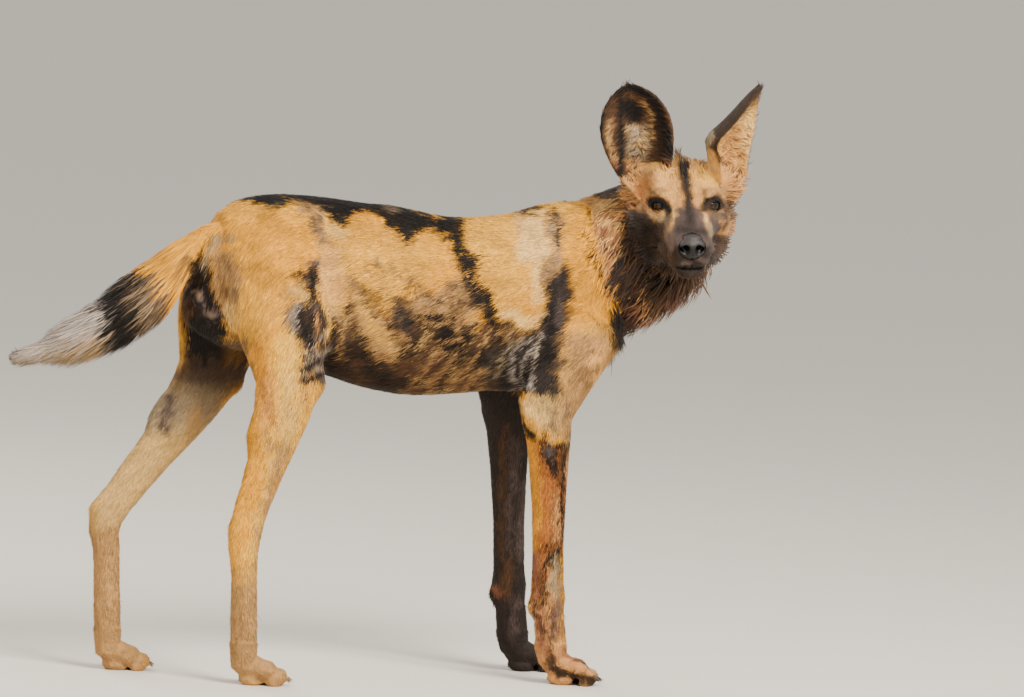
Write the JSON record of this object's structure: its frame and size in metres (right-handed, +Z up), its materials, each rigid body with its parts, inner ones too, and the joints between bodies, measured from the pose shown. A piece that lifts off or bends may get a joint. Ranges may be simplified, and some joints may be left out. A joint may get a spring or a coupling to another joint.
{
  "type": "african wild dog",
  "caption": "Standing wild dog, a still life-size model that looks back over its shoulder, with large round cupped ears, a shaggy throat ruff and a bushy tail.",
  "frame": {"origin": "on the floor under the middle of the model's box", "axes": "+X forward along the body from tail to chest, +Y to the animal's left, +Z up; the head is turned to look towards -Y and a little forward"},
  "size_m": [1.0708, 0.3824, 0.8672],
  "materials": {
    "body_coat": "short ochre coat with black, charcoal and cream blotches",
    "ruff_hair": "long shaggy hair, dark brown to reddish brown, pinkish tan at the side",
    "tail_hair": "bushy hair, ochre at the root, then a black band and a white end",
    "head_coat": "very short sandy coat, black on the face and down the forehead",
    "muzzle_coat": "very short black coat",
    "nose_leather": "moist fine-grained black skin",
    "ear_coat": "thin dark hair outside, cream tufts inside",
    "eye": "wet amber-brown iris with a dark pupil",
    "claw": "worn grey-brown horn",
    "leg_coat": "short smooth coat, chestnut, tan and charcoal patches",
    "paw_coat": "very short coat over knuckles and dark pads"
  },
  "bodies": {
    "root": {"torso": "body_coat", "neck": "ruff_hair", "tail": "tail_hair", "head": "head_coat", "jaw": "muzzle_coat", "nose": "nose_leather", "ear_right": "ear_coat", "ear_left": "ear_coat", "eye_right": "eye", "eye_left": "eye", "fore_leg_right": "leg_coat", "fore_leg_left": "leg_coat", "hind_leg_right": "leg_coat", "hind_leg_left": "leg_coat", "fore_paw_right": "paw_coat", "fore_paw_left": "paw_coat", "hind_paw_right": "paw_coat", "hind_paw_left": "paw_coat"}
  },
  "joints": []
}
